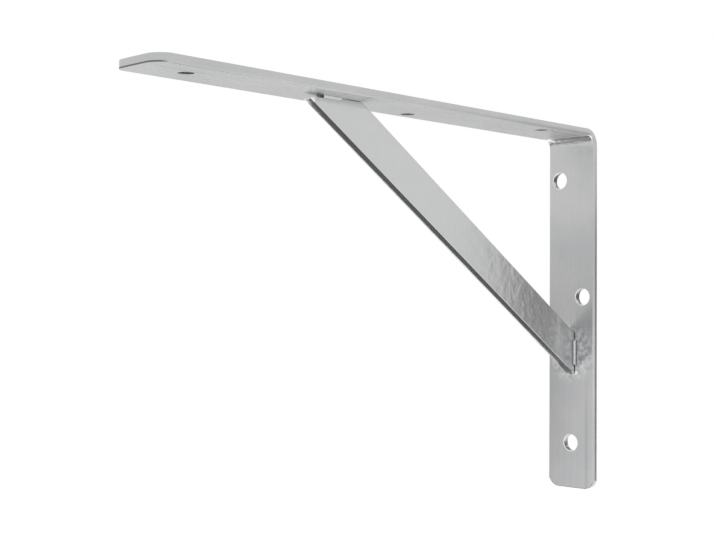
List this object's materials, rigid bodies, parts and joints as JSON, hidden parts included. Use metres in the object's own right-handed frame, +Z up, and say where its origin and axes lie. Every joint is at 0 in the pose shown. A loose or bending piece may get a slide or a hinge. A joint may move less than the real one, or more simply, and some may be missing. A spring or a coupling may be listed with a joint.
{
  "type": "gallows shelf bracket",
  "caption": "Right-angled shelf bracket: a bent flat steel strap with offset screw holes and a riveted diagonal brace on edge.",
  "frame": {"origin": "the corner where the wall plane and the shelf plane meet, at the middle of the strap's width", "axes": "+X out from the wall along the arm, +Y across the strap's width, +Z up out of the shelf face; the leg hangs along -Z"},
  "size_m": [0.3, 0.03, 0.2],
  "materials": {
    "strap_steel": "bright zinc plate, smooth, with faint rolling lines along the strap",
    "brace_steel": "bright zinc plate, smooth, with coarser drawn lines on the narrow edges"
  },
  "bodies": {
    "root": {"strap": "strap_steel", "brace": "brace_steel"}
  },
  "joints": []
}
